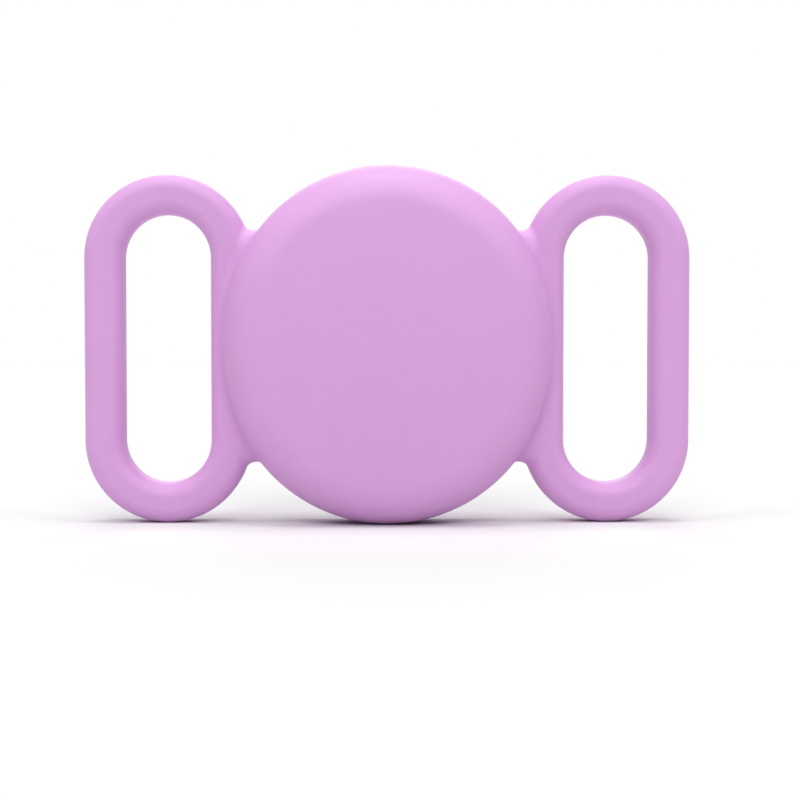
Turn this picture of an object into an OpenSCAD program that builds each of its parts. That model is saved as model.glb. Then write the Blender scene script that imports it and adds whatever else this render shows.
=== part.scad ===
// Soft silicone holder that carries a round tracker tag on a pet collar or strap.
// It stands on the lower edges of its round body and its loops, with its closed front
// towards -Y, the opening for the tag towards +Y and the origin under its middle.
// Pieces are drawn lying on their front, with Z as the depth behind it, and are
// then stood up together.

/* [Tag] */
// Radius of the tag's domed front
dome_r = 80; // [70:1:100]
// Rounding between the tag's dome and its side
shell_round = 3; // [2.4:0.1:3.4]
// Wall of the tag's front shell
shell_wall = 0.9; // [0.7:0.05:1.1]
// Height of the white rim behind the front shell
rim_side = 1.4; // [1.2:0.05:1.6]
// Width of the steel battery cover beyond the coin cell
cover_margin = 2.9; // [2.8:0.05:3.4]
// Width of the white rim beyond the battery cover
rim_margin = 3.05; // [2.9:0.05:3.4]
// Sheet thickness of the battery cover
cover_t = 0.35; // [0.25:0.05:0.45]
// Rise of the battery cover's middle above the rim
cover_rise = 1.1; // [0.9:0.05:1.3]
// Diameter of the coin cell
cell_d = 20; // [18:0.1:20.4]
// Thickness of the coin cell
cell_t = 3.2; // [2.8:0.1:3.6]
// Turn that frees the battery cover, in degrees
cover_turn = 25; // [20:1:30]

/* [Holder body] */
// Silicone between the pocket and the left or right side
side_wall = 1.25; // [1.1:0.05:1.8]
// Silicone between the pocket and the top or bottom
end_wall = 2.85; // [2.5:0.05:3.6]
// Silicone in front of the tag's crown
front_wall = 1.5; // [1.2:0.05:2]
// Thickness of the lip behind the tag
lip_t = 1.6; // [1.2:0.05:2.2]
// Space between the steel cover and the lip round it
opening_gap = 0.4; // [0.3:0.05:1]
// Rounding of the front edge
front_round = 4; // [3:0.1:4.4]
// Rounding of the back edge
back_round = 1.2; // [0.8:0.1:1.6]
// Rounding of the lip's outer edge
lip_round = 0.7; // [0.4:0.05:1]
// Radius of the crowned front face
crown_r = 170; // [140:5:260]

/* [Strap loops] */
// Width of each strap slot
slot_w = 9.2; // [7:0.1:12]
// Length of each strap slot, for the width of the strap
slot_l = 28.5; // [22:0.1:32]
// Width of the bar round a slot
bar_w = 4.2; // [3.6:0.1:5]
// Thickness of the bar, front to back
bar_t = 4.6; // [3.8:0.1:5.4]
// Rounding of the bar's corners
bar_round = 1.5; // [0.8:0.1:2]
// Silicone between the body's side and a slot
slot_land = 1.45; // [0.8:0.05:2]
// Rounding in the notch between a loop and the body
notch_round = 1.2; // [0.5:0.05:1.3]

/* [Hidden] */
$fn = 96;

// Facets of the large domes, where the mesh is shallow
dome_fn = 720;
// Overrun of every cut
cut = 1;
// Clearance between pieces that fit together
fit = 0.1;
// Film of glue or a close gap between flat faces
film = 0.05;

// Layers of the tag, from the crown of its front backwards
chip_room = 0.538;
chip_edge = 0.9;
board_edge = 1.85;
board_t = 0.4;
board_rest = 0.2;
floor_t = 0.55;
contact_room = 0.2;
pad_room = 0.7;

cell_r = cell_d / 2;
cover_r = cell_r + cover_margin;
tag_r = cover_r + rim_margin;
board_r = tag_r - shell_wall - board_edge;
board_z = dome_in(board_r - chip_edge) + chip_room;
board_back = board_z + board_t;
floor_z = board_back + board_rest;
well_z = floor_z + floor_t;
cell_z = well_z + contact_room;
cell_back = cell_z + cell_t;
tag_t = cell_back + pad_room + cover_t;
rim_z = tag_t - cover_rise;
rim_front = rim_z - rim_side;

// Battery cover and its bayonet
cover_stand = 0.2;
cover_gap = 0.2;
channel_gap = 0.6;
ring_h = 1.15;
lug_t = 0.5;
lug_reach = 0.45;
ledge_t = 0.45;
ledge_w = 0.45;
ledge_root = 0.2;
lug_span = 20;
turn_gap = 2;
stop_span = 6;
bayonet_turns = [30, 150, 270];
pad_share = 0.75;

cover_sag = cover_rise - cover_stand;
cover_dome = (cover_r * cover_r + cover_sag * cover_sag) / (2 * cover_sag);
channel_r = cover_r + cover_gap;
ring_r = channel_r - channel_gap;

// Battery well and coin cell
well_gap = 0.25;
well_wall = 0.8;
well_drop = 0.6;
cell_sheet = 0.25;
gasket_t = 0.45;
cap_stand = 0.25;
anode_t = 0.6;

well_r = cell_r + well_gap;
well_out = well_r + well_wall;
well_top = rim_z - well_drop;

// Contacts
contact_t = 0.15;
contact_w = 2.6;
strip_w = 2.2;
strip_reach = 7;
contact_share = 0.7;
positive_turns = [135, 315];
negative_turn = 45;

// Circuit board and what it carries
hole_gap = 0.4;
rest_w = 0.8;
rest_span = 8;
rest_turns = [90, 210, 330];
carrier_h = 0.75;
trace_t = 0.08;
trace_w = 0.25;
trace_span = 100;
can_sheet = 0.12;
radio_chip_size = [3.2, 3.6];
radio_can_size = [4.4, 5.2];
locator_size = [3, 4.2];
memory_size = [2, 3];
motion_size = [2, 2];
sound_size = [1.6, 1.6];
crystal_size = [2, 1.2];
capacitor_size = [3.2, 1.6];
radio_turn = 90;
locator_turn = 165;
memory_turn = 215;
motion_turn = 250;
sound_turn = 285;
crystal_turns = [30, 50];
capacitor_turns = [315, 332, 349];
tall_share = 0.85;
middle_share = 0.7;
low_share = 0.5;

// Speaker
yoke_r = 5.2;
yoke_wall = 0.3;
yoke_base = 0.35;
yoke_depth = 1.3;
magnet_r = 3.9;
plate_t = 0.3;
coil_in = 4.2;
coil_wall = 0.45;
coil_depth = 1.2;
lead_w = 0.6;
lead_t = 0.1;
lead_drop = 0.35;
lead_turns = [0, 20];

yoke_back = floor_z;
magnet_back = yoke_back - yoke_base;
plate_front = yoke_back - yoke_depth - film;
hole_r = yoke_r + hole_gap;
chip_mid = (hole_r + board_r) / 2;
coil_front = dome_in(coil_in + coil_wall) + film;
carrier_front = floor_z - carrier_h;

// Holder body: a stadium outline round the pocket
pocket_r = tag_r + fit;
half_w = pocket_r + side_wall;
half_h = pocket_r + end_wall;
body_straight = 2 * (half_h - half_w);
tag_z = front_wall + fit;
total_t = tag_z + rim_z + fit + lip_t;
opening_r = cover_r + opening_gap;

// Strap loops
slot_r = slot_w / 2;
loop_r = slot_r + bar_w;
loop_x = half_w + slot_land + slot_r;
loop_straight = slot_l - slot_w;
loop_drop = half_h - slot_l / 2 - bar_w;
bar_z = total_t - bar_t / 2;
web_t = bar_t - bar_round;
web_root = bar_w / 4;

// Depth of the front shell's inner face at radius r
function dome_in(r) =
    dome_r - sqrt((dome_r - shell_wall) * (dome_r - shell_wall) - r * r);

// Depth of the battery cover's inner face at radius r
function cover_in(r) =
    tag_t - cover_dome + sqrt((cover_dome - cover_t) * (cover_dome - cover_t) - r * r);

function unit(v) = v / norm(v);

// Where a circle round b crosses one round a, on the left of the way from a to b
function crossing(a, ra, b, rb) =
    let (
        d = norm(b - a),
        along = (d * d + ra * ra - rb * rb) / (2 * d),
        off = sqrt(ra * ra - along * along),
        u = unit(b - a)
    )
    a + along * u + off * [-u[1], u[0]];

module stand() {
    translate([0, -total_t / 2, half_h]) rotate([-90, 0, 0]) children();
}

module in_tag() {
    stand() translate([0, 0, tag_z]) children();
}

module ring(inner, outer, front, back) {
    rotate_extrude() translate([inner, front]) square([outer - inner, back - front]);
}

module disc(radius, front, back) {
    translate([0, 0, front]) cylinder(r = radius, h = back - front);
}

// Part of a ring, from one angle to another
module arc(inner, outer, front, back, start, end) {
    rotate([0, 0, start]) rotate_extrude(angle = end - start)
        translate([inner, front]) square([outer - inner, back - front]);
}

// Revolves a half section round both ends of a straight stretch
module stadium(straight) {
    for (turn = [0, 180]) rotate([0, 0, turn]) translate([0, straight / 2, 0]) {
        rotate_extrude(angle = 180) children();
        rotate([90, 0, 0]) linear_extrude(straight) children();
    }
}

// Half section of a domed disc with its crown at the origin, grown outwards by grow
module lens_section(radius, dome, edge, depth, grow = 0) {
    reach = dome - edge;
    edge_x = radius - edge;
    edge_z = dome - sqrt(reach * reach - edge_x * edge_x);
    meet_x = edge_x * (dome + grow) / reach;
    intersection() {
        translate([0, dome]) circle(dome + grow, $fn = dome_fn);
        translate([0, -grow]) square([meet_x, depth + grow]);
    }
    intersection() {
        translate([edge_x, edge_z]) circle(edge + grow);
        square([radius + grow, depth]);
    }
    translate([0, edge_z]) square([radius + grow, depth - edge_z]);
}

// Square with its far back corner rounded
module rounded_back(radius, depth, edge) {
    square([radius - edge, depth]);
    square([radius, depth - edge]);
    intersection() {
        translate([radius - edge, depth - edge]) circle(edge);
        square([radius, depth]);
    }
}

module body_section() {
    intersection() {
        lens_section(half_w, crown_r, front_round, total_t);
        rounded_back(half_w, total_t, back_round);
    }
}

module bar_section() {
    core_w = bar_w - 2 * bar_round;
    core_t = bar_t - 2 * bar_round;
    translate([slot_r + bar_w / 2, bar_z]) {
        square([bar_w, core_t], center = true);
        square([core_w, bar_t], center = true);
        for (x = [-core_w / 2, core_w / 2], y = [-core_t / 2, core_t / 2])
            translate([x, y]) circle(bar_round);
    }
}

// Fills the notch where a loop's end arc leaves the body's end arc. Loops whose lower
// edges lie level with the body's are off its middle by shift.
module notch_web(shift) {
    a = [0, body_straight / 2];
    b = [loop_x, loop_straight / 2 + shift];
    bite = film;
    reach_a = half_w + notch_round - bite;
    reach_b = loop_r + notch_round - bite;
    p = crossing(a, reach_a, b, reach_b);
    translate([0, 0, bar_z - web_t / 2]) linear_extrude(web_t) difference() {
        polygon([
            a + (half_w - web_root) * unit(p - a),
            p,
            b + (loop_r - web_root) * unit(p - b),
            a + (half_w - web_root) * unit(b - a)
        ]);
        translate(p) circle(notch_round);
    }
}

// Pocket for the tag, with the opening behind it
module pocket_section() {
    lens_section(tag_r, dome_r, shell_round, rim_z + fit, fit);
    translate([0, rim_z]) square([opening_r, total_t - rim_z]);
    translate([opening_r, total_t - tag_z - lip_round]) difference() {
        square([lip_round, lip_round + cut]);
        translate([lip_round, 0]) circle(lip_round);
    }
}

module holder_body() {
    color("plum") stand() difference() {
        union() {
            stadium(body_straight) body_section();
            for (side = [0, 1]) mirror([side, 0, 0]) {
                translate([loop_x, loop_drop, 0]) stadium(loop_straight) bar_section();
                for (end = [0, 1]) mirror([0, end, 0])
                    notch_web(end == 0 ? loop_drop : -loop_drop);
            }
        }
        translate([0, 0, tag_z]) rotate_extrude() pocket_section();
    }
}

module tag_front_shell() {
    color("white") in_tag() rotate_extrude() difference() {
        lens_section(tag_r, dome_r, shell_round, rim_front - film);
        lens_section(tag_r, dome_r, shell_round, rim_front + cut, -shell_wall);
    }
}

module voice_coil() {
    color("orangered") in_tag()
        ring(coil_in, coil_in + coil_wall, coil_front, coil_front + coil_depth);
}

// Two flat leads from the coil down to the board
module coil_leads() {
    foot = hole_r + chip_edge / 2;
    start = coil_in + coil_wall;
    front = coil_front + lead_drop;
    color("goldenrod") in_tag() for (turn = lead_turns) rotate([0, 0, turn]) {
        translate([start, -lead_w / 2, front]) cube([foot - start, lead_w, lead_t]);
        translate([foot - lead_t, -lead_w / 2, front])
            cube([lead_t, lead_w, board_z - front]);
    }
}

module magnet_plate() {
    color("silver") in_tag() disc(magnet_r, plate_front, plate_front + plate_t);
}

module speaker_magnet() {
    color("dimgray") in_tag() disc(magnet_r, plate_front + plate_t, magnet_back);
}

module speaker_yoke() {
    color("silver") in_tag() {
        disc(yoke_r, magnet_back, yoke_back);
        ring(yoke_r - yoke_wall, yoke_r, yoke_back - yoke_depth, yoke_back);
    }
}

module circuit_board() {
    color("darkgreen") in_tag() ring(hole_r, board_r, board_z, board_back);
}

// A chip that stands on the board's front, its size given as radial and across
module chip(size, height, turn) {
    rotate([0, 0, turn])
        translate([chip_mid - size[0] / 2, -size[1] / 2, board_z - height])
            cube([size[0], size[1], height]);
}

module radio_chip() {
    color("black") in_tag() chip(radio_chip_size, low_share * chip_room, radio_turn);
}

module radio_shield() {
    wall = [2 * can_sheet, 2 * can_sheet];
    height = tall_share * chip_room;
    color("silver") in_tag() difference() {
        chip(radio_can_size, height, radio_turn);
        translate([0, 0, can_sheet]) chip(radio_can_size - wall, height, radio_turn);
    }
}

module ranging_module() {
    color("silver") in_tag() chip(locator_size, tall_share * chip_room, locator_turn);
}

module memory_chip() {
    color("black") in_tag() chip(memory_size, middle_share * chip_room, memory_turn);
}

module motion_sensor() {
    color("black") in_tag() chip(motion_size, tall_share * chip_room, motion_turn);
}

module sound_chip() {
    color("black") in_tag() chip(sound_size, low_share * chip_room, sound_turn);
}

module crystals() {
    color("gold") in_tag() for (turn = crystal_turns)
        chip(crystal_size, middle_share * chip_room, turn);
}

module capacitors() {
    color("tan") in_tag() for (turn = capacitor_turns)
        chip(capacitor_size, tall_share * chip_room, turn);
}

// The space inside the front shell, with the fit of the pieces that fill it
module shell_inside(depth) {
    lens_section(tag_r, dome_r, shell_round, depth, -shell_wall - fit);
}

module antenna_carrier() {
    color("gray") in_tag() rotate_extrude() intersection() {
        shell_inside(floor_z);
        translate([board_r + fit, carrier_front])
            square([tag_r - board_r, floor_z - carrier_front]);
    }
}

module antenna_traces() {
    color("peru") in_tag() for (turn = bayonet_turns) rotate([0, 0, turn])
        rotate_extrude(angle = trace_span) intersection() {
            shell_inside(floor_z);
            translate([board_r + 2 * fit, carrier_front - trace_t])
                square([trace_w, trace_t]);
        }
}

module chassis_section() {
    difference() {
        union() {
            intersection() {
                shell_inside(rim_z);
                translate([0, floor_z]) square([tag_r, rim_front + film - floor_z]);
            }
            translate([0, rim_front]) rounded_back(tag_r, rim_side, back_edge());
        }
        translate([0, well_z]) square([well_r, rim_z]);
        translate([well_out, well_z]) square([channel_r - well_out, rim_z]);
        translate([0, well_top]) square([channel_r, rim_z]);
    }
}

// Rounding of the rim's outer edge, just short of the rim's height
function back_edge() = rim_side - 2 * fit;

// Ledges that hold the cover's lugs, with a stop at each end of their travel
module bayonet_ledges() {
    inner = channel_r - ledge_w;
    outer = channel_r + ledge_root;
    lug_front = cover_in(ring_r) - film - ring_h;
    ledge_front = lug_front + lug_t + fit;
    ledge_back = ledge_front + ledge_t;
    half_lug = lug_span / 2;
    near = -half_lug - turn_gap;
    far = cover_turn + half_lug + turn_gap;
    free = cover_turn - half_lug - turn_gap;
    for (turn = bayonet_turns) {
        arc(inner, outer, ledge_front, ledge_back, turn + near, turn + free);
        arc(inner, outer, lug_front, ledge_back, turn + near - stop_span, turn + near);
        arc(inner, outer, lug_front, ledge_back, turn + far, turn + far + stop_span);
    }
}

// Slot for a positive contact, through the floor and the well's wall
module contact_window() {
    width = contact_w + 4 * fit;
    translate([cell_r, -width / 2, floor_z - cut])
        cube([well_out - cell_r + fit, width, rim_z - floor_z + cut]);
}

module tag_chassis() {
    strip_slot = strip_w + 2 * fit;
    color("white") in_tag() {
        difference() {
            rotate_extrude() chassis_section();
            for (turn = positive_turns) rotate([0, 0, turn]) contact_window();
            rotate([0, 0, negative_turn])
                translate([strip_reach - contact_t - fit, -strip_slot / 2, floor_z - cut])
                    cube([contact_t + 2 * fit, strip_slot, floor_t + 2 * cut]);
        }
        bayonet_ledges();
        for (turn = rest_turns)
            arc(board_r - 2 * rest_w, board_r - rest_w, board_back, floor_z + film,
                turn, turn + rest_span);
    }
}

module negative_contact() {
    color("gold") in_tag() rotate([0, 0, negative_turn]) {
        translate([-strip_w / 2, -strip_w / 2, well_z])
            cube([strip_reach + strip_w / 2, strip_w, contact_t]);
        translate([strip_reach - contact_t, -strip_w / 2, board_back])
            cube([contact_t, strip_w, well_z - board_back + contact_t]);
    }
}

module positive_contacts() {
    height = well_z - board_back + contact_room + contact_share * cell_t;
    color("gold") in_tag() for (turn = positive_turns) rotate([0, 0, turn])
        translate([cell_r + film, -contact_w / 2, board_back])
            cube([contact_t, contact_w, height]);
}

module cell_can() {
    front = cell_z + cap_stand;
    inner = cell_r - cell_sheet;
    color("silver") in_tag() {
        disc(cell_r, cell_back - cell_sheet, cell_back);
        ring(inner, cell_r, front, cell_back);
    }
}

module cell_gasket() {
    outer = cell_r - cell_sheet;
    front = cell_z + cap_stand;
    back = cell_back - cell_sheet;
    color("dimgray") in_tag() ring(outer - gasket_t, outer, front, back);
}

module cell_cap() {
    outer = cell_r - cell_sheet - gasket_t;
    color("silver") in_tag() {
        disc(outer, cell_z, cell_z + cell_sheet);
        ring(outer - cell_sheet, outer, cell_z, cell_back - 2 * cell_sheet);
    }
}

module cell_anode() {
    outer = cell_r - 2 * cell_sheet - gasket_t;
    front = cell_z + cell_sheet;
    color("gray") in_tag() disc(outer - fit, front, front + anode_t);
}

module cell_cathode() {
    outer = cell_r - 2 * cell_sheet - gasket_t;
    front = cell_z + cell_sheet + anode_t + film;
    color("black") in_tag() disc(outer - fit, front, cell_back - cell_sheet);
}

module cover_seal() {
    outer = well_out - fit;
    color("dimgray") in_tag()
        ring(well_r + fit, outer, well_top + film, cover_in(outer) - film);
}

module cover_pad() {
    radius = pad_share * cell_r;
    color("white") in_tag() disc(radius, cell_back + film, cover_in(radius) - film);
}

module cover_lock_ring() {
    back = cover_in(ring_r) - film;
    front = back - ring_h;
    half_lug = lug_span / 2;
    color("white") in_tag() {
        ring(well_out + well_gap, ring_r, front, back);
        for (turn = bayonet_turns)
            arc(ring_r - ledge_root, ring_r + lug_reach, front + film, front + lug_t,
                turn - half_lug, turn + half_lug);
    }
}

module battery_cover() {
    color("silver") in_tag() rotate_extrude() intersection() {
        translate([0, tag_t - cover_dome]) difference() {
            circle(cover_dome, $fn = dome_fn);
            circle(cover_dome - cover_t, $fn = dome_fn);
        }
        square([cover_r, tag_t + cut]);
    }
}

holder_body();
tag_front_shell();
voice_coil();
coil_leads();
magnet_plate();
speaker_magnet();
speaker_yoke();
circuit_board();
radio_chip();
radio_shield();
ranging_module();
memory_chip();
motion_sensor();
sound_chip();
crystals();
capacitors();
antenna_carrier();
antenna_traces();
tag_chassis();
negative_contact();
positive_contacts();
cell_can();
cell_gasket();
cell_cap();
cell_anode();
cell_cathode();
cover_seal();
cover_pad();
cover_lock_ring();
battery_cover();
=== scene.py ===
"""Tracker tag holder: one lilac silicone moulding with a strap loop on each side.

The tag that it carries sits in a pocket behind the closed front. Sizes are in millimetres
until a mesh or a lamp is made, and depths are measured backwards from the front's crown.
"""
import math

import bpy
import numpy as np
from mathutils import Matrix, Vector

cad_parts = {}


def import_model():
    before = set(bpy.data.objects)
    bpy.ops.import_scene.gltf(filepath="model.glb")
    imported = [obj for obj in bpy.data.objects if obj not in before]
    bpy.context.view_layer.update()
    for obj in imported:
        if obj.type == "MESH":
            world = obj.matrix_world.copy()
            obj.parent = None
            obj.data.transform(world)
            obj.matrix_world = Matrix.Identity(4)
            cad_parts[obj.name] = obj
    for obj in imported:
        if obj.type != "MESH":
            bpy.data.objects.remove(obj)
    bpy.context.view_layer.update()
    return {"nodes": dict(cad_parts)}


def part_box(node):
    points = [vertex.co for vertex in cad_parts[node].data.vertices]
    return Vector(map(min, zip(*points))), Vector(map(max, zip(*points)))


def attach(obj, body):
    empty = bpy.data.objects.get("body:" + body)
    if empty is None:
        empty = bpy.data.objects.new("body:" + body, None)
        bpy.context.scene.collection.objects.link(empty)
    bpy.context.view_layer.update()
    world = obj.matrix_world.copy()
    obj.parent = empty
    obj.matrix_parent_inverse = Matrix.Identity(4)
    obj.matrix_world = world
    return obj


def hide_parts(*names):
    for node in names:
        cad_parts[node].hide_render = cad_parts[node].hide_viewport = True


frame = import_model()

MM = 0.001

# Driving sizes of the silicone moulding
SIDE_ARC = 23.8
FRONT_ROUND = 4.0
BACK_ROUND = 1.2
CROWN = 170.0
SLOT_W = 9.2
SLOT_L = 28.5
BAR_W = 4.2
BAR_T = 4.6
BAR_ROUND = 1.5
BLEND = 1.2
WALL_SIDE = 1.25
TAG_DOME = 80.0
TAG_ROUND = 3.0
FIT = 0.1
OPENING_GAP = 0.4
LIP_ROUND = 0.7
LIP_INNER_ROUND = 0.3
POCKET_ROUND = 0.4

# Driving sizes of the tag's white shell and its steel cover
SHELL_WALL = 0.9
COVER_SHEET = 0.35
COVER_ROUND = 0.12

# Fineness of the meshes
MESH_STEP = 0.28
MARGIN_STEPS = 3
PROJECTIONS = 4
SLOPE_STEP = 0.002
LEAST_SLOPE = 0.1
LEAST_SPREAD = 1e-4
TURNED_SIDES = 240
DOME_POINTS = 40
ROUNDING_POINTS = 20
RIM_POINTS = 8
SHARP_ANGLE = 35.0

# Sizes and places that the frame gives
holder_low, holder_high = (np.array(v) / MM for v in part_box("holder_body"))
tag_low, tag_high = (np.array(v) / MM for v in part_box("tag_front_shell"))
rim_high = np.array(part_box("tag_chassis")[1]) / MM
cover_low, cover_high = (np.array(v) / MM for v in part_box("battery_cover"))

front_y = holder_low[1]
thickness = holder_high[1] - front_y
mid_z = (holder_low[2] + holder_high[2]) / 2
half_h = holder_high[2] - mid_z
tag_r = tag_high[0]
cover_r = cover_high[0]
tag_depth = tag_low[1] - front_y
rim_depth = rim_high[1] - front_y
half_w = tag_r + FIT + WALL_SIDE
end_arc = (SIDE_ARC**2 - (SIDE_ARC - half_w) ** 2 - half_h**2) / (2 * (SIDE_ARC - half_h))
loop_r = SLOT_W / 2 + BAR_W / 2
loop_x = holder_high[0] - BAR_W / 2 - loop_r
loop_reach = (SLOT_L - SLOT_W) / 2
loop_drop = half_h - SLOT_L / 2 - BAR_W
bar_depth = thickness - BAR_T / 2
opening_r = cover_r + OPENING_GAP
cover_sag = cover_high[1] - cover_low[1] - COVER_SHEET
cover_dome = (cover_r**2 + cover_sag**2) / (2 * cover_sag)


# Silicone moulding

def meet(a, b, radius):
    """Where two shapes overlap, with their edge rounded.

    The distance is the larger of the two. Within the radius of both faces it is the distance
    from the centre line of the rounding, less the radius.
    """
    corner = np.hypot(np.maximum(a + radius, 0), np.maximum(b + radius, 0))
    return np.minimum(np.maximum(a, b), -radius) + corner


def join(a, b, likeness, radius):
    """Two shapes as one, with the fillet that a ball leaves as it rolls along their corner.

    The ball's centre is one radius from both shapes. The shortest way from a place to it is a
    weighted sum of the two slopes, whose likeness is the cosine between them. Where neither
    weight is negative, the distance is the radius less that way's length. Everywhere else it
    is the smaller of the two.
    """
    to_a, to_b = radius - a, radius - b
    spread = np.maximum(1 - likeness**2, LEAST_SPREAD)
    way = (to_a**2 + to_b**2 - 2 * to_a * to_b * likeness) / spread
    rolled = (to_a > likeness * to_b) & (to_b > likeness * to_a)
    return np.where(rolled, radius - np.sqrt(np.maximum(way, 0)), np.minimum(a, b))


def oval(x, v):
    """Distance from the body's outline: end arcs and side arcs that meet without a corner.

    A point belongs to a side arc below the line through both arcs' centres, and otherwise
    to an end arc. Its distance is that from the arc's centre, less the arc's radius.
    """
    x, v = np.abs(x), np.abs(v)
    side_x, end_v = SIDE_ARC - half_w, half_h - end_arc
    side = np.hypot(x + side_x, v) - SIDE_ARC
    end = np.hypot(x, v - end_v) - end_arc
    return np.where(v * side_x < (x + side_x) * end_v, side, end)


def crowned(x, v, depth, radius):
    """Distance from a dome whose crown points forwards at depth zero."""
    return np.sqrt(x**2 + v**2 + (depth - radius) ** 2) - radius


def body(place):
    """Distance from the round body: its outline, crowned front and flat back, edges rounded."""
    x, depth, v = place
    side = oval(x, v)
    front = meet(side, crowned(x, v, depth, CROWN), FRONT_ROUND)
    return np.maximum(front, meet(side, depth - thickness, BACK_ROUND))


def strap_loops(place):
    """Distance from both loops: a rounded bar along a stadium, as low as the body's edge.

    The stadium's line lies at one radius from its straight core. A point's distance across
    and behind that line goes into the distance from a rounded rectangle.
    """
    x, depth, v = place
    core = np.hypot(np.abs(x) - loop_x, np.maximum(np.abs(v + loop_drop) - loop_reach, 0))
    across = np.abs(core - loop_r) - (BAR_W / 2 - BAR_ROUND)
    behind = np.abs(depth - bar_depth) - (BAR_T / 2 - BAR_ROUND)
    outside = np.hypot(np.maximum(across, 0), np.maximum(behind, 0))
    return outside + np.minimum(np.maximum(across, behind), 0) - BAR_ROUND


def slope(field, place):
    """Slope of a distance field at an array of places, from the difference across each."""
    steps = np.eye(3)[:, :, None] * SLOPE_STEP
    return np.array([field(place + s) - field(place - s) for s in steps]) / (2 * SLOPE_STEP)


def moulding(place):
    """Distance from the moulding's surface, negative inside, for an array of places.

    The body and the loops join with a fillet, up to the flat back. The tag's own domed form,
    grown by its fit, and the opening behind it are taken out, and the lip between them is
    rounded on both sides.
    """
    place = place - np.array([[0], [front_y], [mid_z]])
    a, b = body(place), strap_loops(place)
    near = np.maximum(abs(a), abs(b)) < 2 * BLEND
    likeness = np.zeros_like(a)
    likeness[near] = (slope(body, place[:, near]) * slope(strap_loops, place[:, near])).sum(0)
    x, depth, v = place
    solid = np.maximum(join(a, b, likeness, BLEND), depth - thickness)
    across = np.hypot(x, v)
    dome = crowned(x, v, depth - tag_depth, TAG_DOME) - FIT
    pocket = meet(across - tag_r - FIT, dome, TAG_ROUND + FIT)
    pocket = meet(pocket, depth - rim_depth - FIT, POCKET_ROUND)
    opening = np.maximum(across - opening_r, tag_depth + rim_depth - 2 * depth)
    return meet(meet(solid, -opening, LIP_ROUND), -pocket, LIP_INNER_ROUND)


def skin(field, low, high, step):
    """Closed mesh of four-sided faces where a distance field is zero.

    The field is worked out on a grid. Each grid edge whose ends lie on different sides of
    the surface gives one face, between the four cells round that edge. A cell's vertex is
    the mean of the crossings on its edges, moved along the slope until the distance is zero.
    """
    counts = np.ceil((high - low) / step).astype(int) + 1
    axes = [low[k] + step * np.arange(counts[k]) for k in range(3)]
    values = field(np.array(np.meshgrid(*axes, indexing="ij")).reshape(3, -1)).reshape(counts)
    cells, corners, crossings = [], [], []
    for k in range(3):
        order = [k, (k + 1) % 3, (k + 2) % 3]
        turned = values.transpose(order)
        i, j, l = np.nonzero((turned[:-1] < 0) != (turned[1:] < 0))
        before, after = turned[i, j, l], turned[i + 1, j, l]
        back = np.argsort(order)
        point = np.array([i + before / (before - after), j, l])[back]
        around = [
            np.ravel_multi_index(np.array([i, j + dj, l + dl])[back], counts)
            for dj, dl in ((-1, -1), (0, -1), (0, 0), (-1, 0))
        ]
        face = np.stack(around, 1)
        cells.append(np.where((before < 0)[:, None], face, face[:, ::-1]))
        corners.append(np.concatenate(around))
        crossings.append(np.tile(point, 4))
    used, corner = np.unique(np.concatenate(corners), return_inverse=True)
    crossings = np.concatenate(crossings, 1)
    share = np.bincount(corner)
    place = np.array([np.bincount(corner, axis) for axis in crossings]) / share
    place = place * step + low[:, None]
    for _ in range(PROJECTIONS):
        way = slope(field, place)
        place = place - field(place) * way / np.maximum((way**2).sum(0), LEAST_SLOPE)
    way = slope(field, place)
    faces = np.searchsorted(used, np.concatenate(cells))
    return place.T, faces, (way / np.linalg.norm(way, axis=0)).T


def holder():
    """The silicone moulding, in place of the CAD's plain solid."""
    room = MARGIN_STEPS * MESH_STEP
    points, faces, normals = skin(moulding, holder_low - room, holder_high + room, MESH_STEP)
    mesh = bpy.data.meshes.new("holder_moulding")
    mesh.from_pydata(points * MM, [], faces)
    mesh.polygons.foreach_set("use_smooth", np.ones(len(faces), bool))
    mesh.normals_split_custom_set_from_vertices(normals)
    mesh.materials.append(made["silicone"])
    piece = bpy.data.objects.new("holder_moulding", mesh)
    bpy.context.scene.collection.objects.link(piece)
    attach(piece, "holder")
    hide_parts("holder_body")


# Tag's outside

def bend(radius, start, end, count):
    """Arc round its centre, as distances out from the axis and along it.

    At an angle t off the axis they are radius sin t and radius cos t.
    """
    angle = np.linspace(start, end, count)
    return radius * np.array([np.sin(angle), np.cos(angle)])


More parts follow.
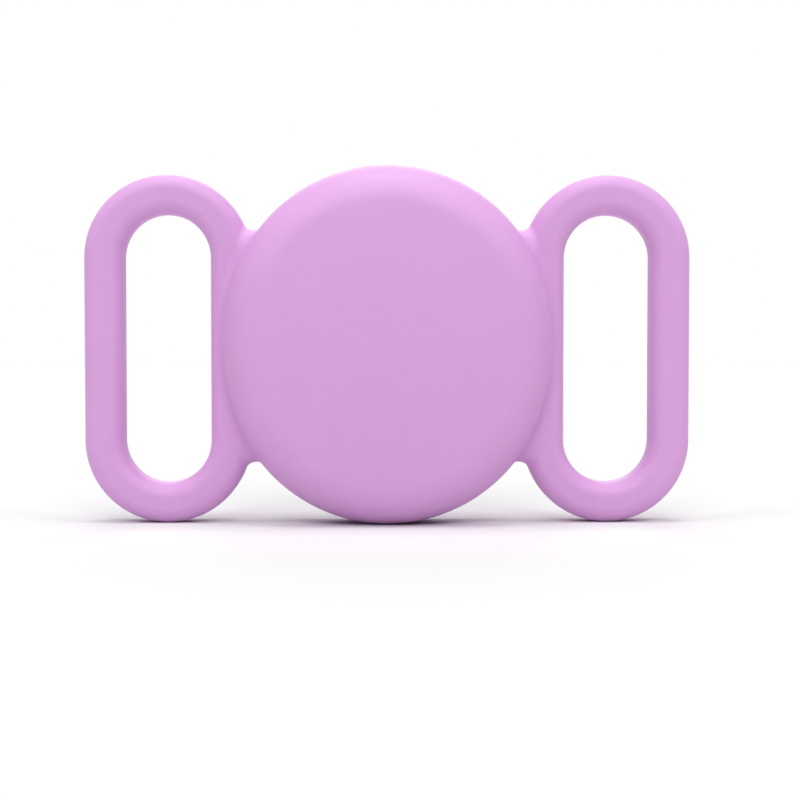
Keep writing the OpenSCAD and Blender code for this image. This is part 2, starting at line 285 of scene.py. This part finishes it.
def turned(name, profile, body, node, slot):
    """Closed surface of a profile turned about the tag's axis, in place of a CAD node.

    The profile gives a radius r at each place y along the axis, and starts and ends on the
    axis, where all turns share one vertex. At an angle t the surface is at x = r cos t and
    at z = r sin t above the holder's middle. A profile that runs the wrong way round is
    turned about, so that the faces point outwards.
    """
    r, y = profile
    if (r * np.roll(y, -1) - np.roll(r, -1) * y).sum() < 0:
        r, y = r[::-1], y[::-1]
    angle = 2 * np.pi * np.arange(TURNED_SIDES) / TURNED_SIDES
    rings = np.stack([
        np.outer(r[1:-1], np.cos(angle)),
        np.repeat(y[1:-1, None], TURNED_SIDES, 1),
        np.outer(r[1:-1], np.sin(angle)) + mid_z,
    ], -1)
    poles = np.array([[0, y[0], mid_z], [0, y[-1], mid_z]])
    index = np.arange(rings[..., 0].size).reshape(len(rings), -1) + len(poles)
    onward = np.roll(index, -1, 1)
    quads = np.stack([index[:-1], index[1:], onward[1:], onward[:-1]], -1).reshape(-1, 4)
    first = np.stack([np.zeros_like(index[0]), index[0], onward[0]], -1)
    last = np.stack([index[-1], np.ones_like(index[-1]), onward[-1]], -1)
    mesh = bpy.data.meshes.new(name)
    points = np.concatenate([poles, rings.reshape(-1, 3)])
    mesh.from_pydata(points * MM, [], quads.tolist() + first.tolist() + last.tolist())
    mesh.polygons.foreach_set("use_smooth", np.ones(len(mesh.polygons), bool))
    mesh.set_sharp_from_angle(angle=math.radians(SHARP_ANGLE))
    mesh.materials.append(made[slot])
    piece = bpy.data.objects.new(name, mesh)
    bpy.context.scene.collection.objects.link(piece)
    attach(piece, body)
    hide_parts(node)


def domed(dome, edge, radius):
    """Angle at which a dome meets the rounding towards its side, and the rounding's centre."""
    lean = np.arcsin((radius - edge) / (dome - edge))
    return lean, bend(dome - edge, lean, lean, 1)


def white_shell():
    """Domed front shell: a dome, a rounding and a straight side, and the same one wall in."""
    lean, centre = domed(TAG_DOME, TAG_ROUND, tag_r)
    side = np.pi / 2
    end = TAG_DOME - (tag_high[1] - tag_low[1])
    out, along = np.concatenate([
        bend(TAG_DOME, 0, lean, DOME_POINTS),
        centre + bend(TAG_ROUND, lean, side, ROUNDING_POINTS)[:, 1:],
        [[tag_r, tag_r - SHELL_WALL], [end, end]],
        centre + bend(TAG_ROUND - SHELL_WALL, side, lean, ROUNDING_POINTS),
        bend(TAG_DOME - SHELL_WALL, lean, 0, DOME_POINTS)[:, 1:],
    ], 1)
    turned("domed_front_shell", (out, tag_low[1] + TAG_DOME - along),
           "tag", "tag_front_shell", "white_shell")


def steel_cover():
    """Domed steel cover of even thickness, with its outer edge rounded off."""
    lean, centre = domed(cover_dome, COVER_ROUND, cover_r)
    inside = cover_dome - COVER_SHEET
    out, along = np.concatenate([
        bend(cover_dome, 0, lean, DOME_POINTS),
        centre + bend(COVER_ROUND, lean, np.pi / 2, RIM_POINTS)[:, 1:],
        bend(inside, np.arcsin(cover_r / inside), 0, DOME_POINTS),
    ], 1)
    turned("domed_steel_cover", (out, cover_high[1] - cover_dome + along),
           "cover", "battery_cover", "polished_steel")


# Materials

def linear(colour):
    """Linear red, green, blue and alpha of an sRGB hex colour."""
    parts = (int(colour[k : k + 2], 16) / 255 for k in (1, 3, 5))
    return [p / 12.92 if p <= 0.04045 else ((p + 0.055) / 1.055) ** 2.4 for p in parts] + [1]


def add(tree, kind, *inputs, **settings):
    """Adds a node, with a link or a value for each input, by its place or its name.

    Underscores in a name stand for the spaces in an input's. A name that no input has is
    one of the node's own settings.
    """
    node = tree.nodes.new("ShaderNode" + kind)
    for name, value in [*enumerate(inputs), *settings.items()]:
        by_place = isinstance(name, int)
        socket = node.inputs[name] if by_place else node.inputs.get(name.replace("_", " "))
        if socket is None:
            setattr(node, name, value)
        elif isinstance(value, bpy.types.NodeSocket):
            tree.links.new(value, socket)
        else:
            socket.default_value = value
    return node


def surface(name, **settings):
    """New material: its node tree, its shader with these settings, and object coordinates."""
    material = bpy.data.materials.new(name)
    material.use_nodes = True
    tree = material.node_tree
    tree.nodes.clear()
    shader = add(tree, "BsdfPrincipled", **settings)
    add(tree, "OutputMaterial", shader.outputs["BSDF"])
    return material, tree, shader, add(tree, "TexCoord").outputs["Object"]


def dress(tree, shader, pattern, colours, roughness, relief, depth):
    """Lets one pattern shift a surface's colour and roughness, and another raise it.

    Colours and roughness are given where the pattern is 0 and where it is 1, and depth is
    the relief's full height in millimetres.
    """
    low, high = (linear(c) for c in colours)
    colour = add(tree, "MixRGB", pattern, low, high)
    rough = add(tree, "MapRange", pattern, To_Min=roughness[0], To_Max=roughness[1])
    raised = add(tree, "Bump", Height=relief, Distance=depth * MM)
    tree.links.new(colour.outputs["Color"], shader.inputs["Base Color"])
    tree.links.new(rough.outputs["Result"], shader.inputs["Roughness"])
    tree.links.new(raised.outputs["Normal"], shader.inputs["Normal"])


def per(size):
    """Scale of a noise or cell pattern whose grains are this many millimetres across."""
    return 1 / (size * MM)


def lines(size):
    """Scale of a wave pattern whose lines are this many millimetres apart."""
    return math.pi / (10 * size * MM)


def moulded_silicone():
    """Liquid silicone rubber from a blasted mould: soft, matte, and a little light sinks in."""
    material, tree, shader, where = surface(
        "moulded_silicone", IOR=1.41, Specular_IOR_Level=0.8, Subsurface_Weight=0.12,
        Subsurface_Radius=(1.0, 0.5, 0.8), Subsurface_Scale=1.0 * MM,
    )
    cloud = add(tree, "TexNoise", where, Scale=per(9.0), Detail=2.0).outputs["Fac"]
    # The mould's grain is about 0.05 mm, drawn at 0.25 mm to show
    grain = add(tree, "TexNoise", where, Scale=per(0.25), Detail=3.0).outputs["Fac"]
    dress(tree, shader, cloud, ("#CF99D2", "#D39DD6"), (0.5, 0.56), grain, 0.0025)
    return material


def moulded_polycarbonate():
    """White polycarbonate from a polished mould: a high gloss, very slightly wavy."""
    material, tree, shader, where = surface("moulded_polycarbonate", IOR=1.585)
    wave = add(tree, "TexNoise", where, Scale=per(4.0), Detail=1.0).outputs["Fac"]
    # Handling leaves hairlines of about 0.02 mm, drawn at 0.15 mm to show
    drawn = add(tree, "Mapping", where, vector_type="TEXTURE", Rotation=(0, 0.6, 0),
                Scale=(1, 1, 16))
    scuff = add(tree, "TexNoise", drawn.outputs[0], Scale=per(0.15), Detail=2.0)
    scuffed = add(tree, "MapRange", scuff.outputs["Fac"], From_Min=0.6, From_Max=0.8)
    dress(tree, shader, scuffed.outputs["Result"], ("#E8E8E5", "#E0E0DC"), (0.12, 0.24),
          wave, 0.004)
    return material


def sparked_polycarbonate():
    """White polycarbonate from a spark-eroded mould: a fine even grain takes off the gloss."""
    material, tree, shader, where = surface("sparked_polycarbonate", IOR=1.585)
    # The grain is about 0.06 mm, drawn at 0.16 mm to show
    grain = add(tree, "TexNoise", where, Scale=per(0.16), Detail=3.0).outputs["Fac"]
    dress(tree, shader, grain, ("#DFDFDB", "#E5E5E1"), (0.3, 0.42), grain, 0.012)
    return material


def polished_stainless_steel():
    """Stainless steel buffed to a mirror, which soon takes fine crossing scratches."""
    material, tree, shader, where = surface("polished_stainless_steel", Metallic=1.0)
    # Scratches are about 0.01 mm wide, drawn at 0.06 mm to show
    marks = []
    for turn in (0.5, 1.3, 2.1):
        drawn = add(tree, "Mapping", where, vector_type="TEXTURE", Rotation=(0, turn, 0),
                    Scale=(1, 1, 80))
        noise = add(tree, "TexNoise", drawn.outputs[0], Scale=per(0.06), Detail=0.0)
        mark = add(tree, "MapRange", noise.outputs["Fac"], From_Min=0.7, From_Max=0.84)
        marks.append(mark.outputs["Result"])
    crossed = add(tree, "Math", *marks[:2], operation="MAXIMUM")
    scratch = add(tree, "Math", crossed.outputs[0], marks[2], operation="MAXIMUM").outputs[0]
    dress(tree, shader, scratch, ("#CFCFD1", "#BFBFC2"), (0.06, 0.2), scratch, 0.0008)
    return material


def plated_sheet_steel():
    """Rolled steel sheet with nickel plate: warm grey, with the rolling's straight lines."""
    material, tree, shader, where = surface("nickel_plated_steel", Metallic=1.0)
    # Rolling lines are about 0.03 mm apart, drawn at 0.1 mm to show
    rolled = add(tree, "Mapping", where, Scale=(0.04, 1, 1))
    grain = add(tree, "TexNoise", rolled.outputs[0], Scale=per(0.1), Detail=2.0).outputs["Fac"]
    dress(tree, shader, grain, ("#B7B6B0", "#C2C1BB"), (0.2, 0.34), grain, 0.003)
    return material


def drawn_stainless_steel():
    """Stainless steel drawn into a cup and turned: faint rings round the cell's middle."""
    material, tree, shader, where = surface("drawn_stainless_steel", Metallic=1.0)
    middle = add(tree, "Mapping", where, Location=(0, 0, -mid_z * MM))
    # Turning rings are about 0.08 mm apart, drawn at 0.3 mm to show
    ring = add(tree, "TexWave", middle.outputs[0], wave_type="RINGS", rings_direction="Y",
               Scale=lines(0.3), Distortion=1.5, Detail=2.0).outputs["Fac"]
    dress(tree, shader, ring, ("#C3C2BE", "#CCCBC7"), (0.22, 0.34), ring, 0.003)
    return material


def sintered_magnet():
    """Pressed and sintered magnet alloy under thin nickel: dark, and slightly pitted."""
    material, tree, shader, where = surface("sintered_magnet", Metallic=1.0)
    # Grains are about 0.02 mm, drawn at 0.12 mm to show
    pit = add(tree, "TexVoronoi", where, Scale=per(0.12)).outputs["Distance"]
    dress(tree, shader, pit, ("#84848A", "#939397"), (0.34, 0.48), pit, 0.01)
    return material


def enamelled_copper():
    """Copper with clear enamel: warm, glossy, with the lines of wire laid side by side."""
    material, tree, shader, where = surface(
        "enamelled_copper", Metallic=1.0, Coat_Weight=0.5, Coat_Roughness=0.15,
    )
    middle = add(tree, "Mapping", where, Location=(0, 0, -mid_z * MM))
    # Wire is 0.06 mm thick, drawn at 0.14 mm to show
    turn = add(tree, "TexWave", middle.outputs[0], wave_type="RINGS", rings_direction="Y",
               Scale=lines(0.14), Distortion=0.3).outputs["Fac"]
    dress(tree, shader, turn, ("#9C5230", "#C0703F"), (0.26, 0.36), turn, 0.03)
    return material


def gilded_spring_strip():
    """Rolled spring bronze with a gold flash: yellow, smooth, with faint lines along it."""
    material, tree, shader, where = surface("gold_plated_spring_bronze", Metallic=1.0)
    rolled = add(tree, "Mapping", where, Scale=(1, 1, 0.04))
    # Rolling lines are about 0.03 mm apart, drawn at 0.1 mm to show
    grain = add(tree, "TexNoise", rolled.outputs[0], Scale=per(0.1), Detail=2.0).outputs["Fac"]
    dress(tree, shader, grain, ("#D3AE55", "#DDBA66"), (0.18, 0.3), grain, 0.003)
    return material


def solder_mask():
    """Green solder mask on woven glass: a glossy skin, and the cloth's squares show through."""
    material, tree, shader, where = surface(
        "solder_mask_on_glass_cloth", IOR=1.55, Coat_Weight=0.4, Coat_Roughness=0.12,
    )
    # The cloth has a thread every 0.45 mm, each way
    across = add(tree, "TexWave", where, bands_direction="X", Scale=lines(0.45))
    along = add(tree, "TexWave", where, bands_direction="Z", Scale=lines(0.45))
    weave = add(tree, "Math", across.outputs["Fac"], along.outputs["Fac"],
                operation="MULTIPLY").outputs[0]
    dress(tree, shader, weave, ("#12422A", "#185235"), (0.32, 0.42), weave, 0.01)
    return material


def moulded_epoxy():
    """Black epoxy filled with ground silica, lightly blasted: dull, with pale specks."""
    material, tree, shader, where = surface("filled_epoxy", IOR=1.55)
    # Silica grains are about 0.03 mm, drawn at 0.08 mm to show
    speck = add(tree, "TexNoise", where, Scale=per(0.08), Detail=1.0).outputs["Fac"]
    dress(tree, shader, speck, ("#161618", "#222224"), (0.5, 0.62), speck, 0.008)
    return material


def fired_ceramic():
    """Fired tan ceramic: smooth and even, with a fine speckle."""
    material, tree, shader, where = surface("fired_ceramic", IOR=1.7)
    # Crystals are about 0.01 mm, drawn at 0.07 mm to show
    speck = add(tree, "TexNoise", where, Scale=per(0.07), Detail=1.0).outputs["Fac"]
    dress(tree, shader, speck, ("#A88760", "#B89972"), (0.32, 0.44), speck, 0.002)
    return material


def filled_polymer():
    """Dark grey liquid-crystal polymer: long streaks lie the way the melt ran in the mould."""
    material, tree, shader, where = surface("filled_liquid_crystal_polymer", IOR=1.6)
    # Streaks are about 0.1 mm wide, drawn at 0.3 mm to show
    run = add(tree, "Mapping", where, Scale=(0.2, 1, 1))
    streak = add(tree, "TexNoise", run.outputs[0], Scale=per(0.3), Detail=3.0).outputs["Fac"]
    dress(tree, shader, streak, ("#37373A", "#424245"), (0.42, 0.56), streak, 0.004)
    return material


def moulded_polypropylene():
    """Dark polypropylene seal, squeezed between the cell's cups: waxy, almost without grain."""
    material, tree, shader, where = surface("moulded_polypropylene", IOR=1.49)
    cloud = add(tree, "TexNoise", where, Scale=per(0.8), Detail=2.0).outputs["Fac"]
    dress(tree, shader, cloud, ("#37373A", "#3F3F42"), (0.32, 0.42), cloud, 0.004)
    return material


def lithium_foil():
    """Cut disc of soft light metal, pressed flat: dull, with shallow dents."""
    material, tree, shader, where = surface("lithium_foil", Metallic=1.0)
    dent = add(tree, "TexNoise", where, Scale=per(1.2), Detail=4.0).outputs["Fac"]
    dress(tree, shader, dent, ("#A2A2A0", "#B2B2AF"), (0.44, 0.58), dent, 0.02)
    return material


def pressed_powder():
    """Black manganese oxide powder pressed to a tablet: no gloss, visible grains."""
    material, tree, shader, where = surface("pressed_oxide_powder", IOR=1.5)
    # Grains are about 0.05 mm, drawn at 0.15 mm to show
    grain = add(tree, "TexVoronoi", where, Scale=per(0.15)).outputs["Distance"]
    dress(tree, shader, grain, ("#121213", "#202021"), (0.8, 0.92), grain, 0.02)
    return material


def seal_rubber():
    """Dark silicone rubber ring: satin, with a fine bloom."""
    material, tree, shader, where = surface("seal_rubber", IOR=1.41)
    bloom = add(tree, "TexNoise", where, Scale=per(0.4), Detail=3.0).outputs["Fac"]
    dress(tree, shader, bloom, ("#28282A", "#323234"), (0.46, 0.6), bloom, 0.005)
    return material


def polyester_film():
    """White polyester film stuck down flat: satin, with a slight ripple from the glue."""
    material, tree, shader, where = surface("white_polyester_film", IOR=1.575)
    ripple = add(tree, "TexNoise", where, Scale=per(2.0), Detail=1.0).outputs["Fac"]
    dress(tree, shader, ripple, ("#DFDFDB", "#E5E5E1"), (0.26, 0.36), ripple, 0.01)
    return material


made = {
    "silicone": moulded_silicone(), "white_shell": moulded_polycarbonate(),
    "white_chassis": sparked_polycarbonate(), "polished_steel": polished_stainless_steel(),
    "plated_steel": plated_sheet_steel(), "cell_steel": drawn_stainless_steel(),
    "magnet": sintered_magnet(), "copper": enamelled_copper(),
    "gold_spring": gilded_spring_strip(), "board": solder_mask(), "chip": moulded_epoxy(),
    "ceramic": fired_ceramic(), "carrier": filled_polymer(), "gasket": moulded_polypropylene(),
    "anode": lithium_foil(), "cathode": pressed_powder(), "seal": seal_rubber(),
    "film": polyester_film(),
}
for node in frame["nodes"].values():
    for slot in node.material_slots:
        slot.material = made[slot.material.name]


# Floor, light and camera

WORLD_LIGHT = 0.27
LAMP_DISTANCE = 2400.0
LAMP_SIZE = 1300.0
FLOOR_REACH = 700.0
CAMERA_DISTANCE = 200.0
CAMERA_HEIGHT = 21.5
CAMERA_SIDE = 3.0
CAMERA_LENS = 85.33
CAMERA_FILM = 36.0
AIM_X = 1.295
AIM_Z = 13.1


def floor():
    """Matte studio paper, which keeps the holder's shadow.

    It is a little paler far away, where the lamps reach it less, so that it looks even.
    """
    reach = FLOOR_REACH * MM
    mesh = bpy.data.meshes.new("floor")
    corners = [(-reach, -reach, 0), (reach, -reach, 0), (reach, reach, 0), (-reach, reach, 0)]
    mesh.from_pydata(corners, [], [(0, 1, 2, 3)])
    material, tree, shader, where = surface(
        "matte_studio_paper", Roughness=1.0, Specular_IOR_Level=0.0,
    )
    away = add(tree, "VectorMath", where, operation="LENGTH").outputs["Value"]
    share = add(tree, "MapRange", away, From_Max=reach).outputs["Result"]
    colour = add(tree, "MixRGB", share, linear("#E1E1E1"), linear("#EAEAEA"))
    tree.links.new(colour.outputs["Color"], shader.inputs["Base Color"])
    mesh.materials.append(material)
    piece = bpy.data.objects.new("floor", mesh)
    bpy.context.scene.collection.objects.link(piece)


def world():
    """Even pale surroundings, plain white where they show and dimmer as light."""
    sky = bpy.data.worlds.new("studio")
    sky.use_nodes = True
    tree = sky.node_tree
    tree.nodes.clear()
    ray = add(tree, "LightPath").outputs
    seen = add(tree, "Math", ray["Is Camera Ray"], ray["Is Glossy Ray"], operation="MAXIMUM")
    seen = add(tree, "Math", seen.outputs[0], ray["Is Transmission Ray"], operation="MAXIMUM")
    level = add(tree, "Math", seen.outputs[0], WORLD_LIGHT, operation="MAXIMUM")
    studio = add(tree, "Background", Color=linear("#FFFFFF"), Strength=level.outputs[0])
    add(tree, "OutputWorld", studio.outputs[0])
    bpy.context.scene.world = sky


def lamp(name, around, up, power):
    """Soft square lamp, so many degrees round from the front and up, facing the holder."""
    data = bpy.data.lights.new(name, "AREA")
    data.size = LAMP_SIZE * MM
    data.energy = power
    piece = bpy.data.objects.new(name, data)
    bpy.context.scene.collection.objects.link(piece)
    around, up = math.radians(around), math.radians(up)
    level = math.cos(up)
    way = Vector((math.sin(around) * level, -math.cos(around) * level, math.sin(up)))
    piece.location = (Vector((0, 0, mid_z)) + way * LAMP_DISTANCE) * MM
    piece.rotation_euler = way.to_track_quat("Z", "Y").to_euler()


def camera():
    """A little above the holder's middle and to its left, looking slightly down at it."""
    data = bpy.data.cameras.new("camera")
    data.lens = CAMERA_LENS
    data.sensor_width = CAMERA_FILM
    data.clip_start = 0.01
    data.clip_end = 20
    piece = bpy.data.objects.new("camera", data)
    bpy.context.scene.collection.objects.link(piece)
    piece.location = Vector((AIM_X - CAMERA_SIDE, -CAMERA_DISTANCE, CAMERA_HEIGHT)) * MM
    way = Vector((AIM_X, 0, AIM_Z)) * MM - piece.location
    piece.rotation_euler = way.to_track_quat("-Z", "Y").to_euler()
    bpy.context.scene.camera = piece


camera()
floor()
world()
lamp("front_lamp", around=0, up=40, power=22.3)
lamp("top_lamp", around=0, up=90, power=30.6)
lamp("back_lamp", around=180, up=32, power=13.4)
lamp("left_lamp", around=-65, up=50, power=10.3)
lamp("right_lamp", around=65, up=50, power=10.3)
holder()
white_shell()
steel_cover()

bpy.context.scene.view_settings.view_transform = "Standard"
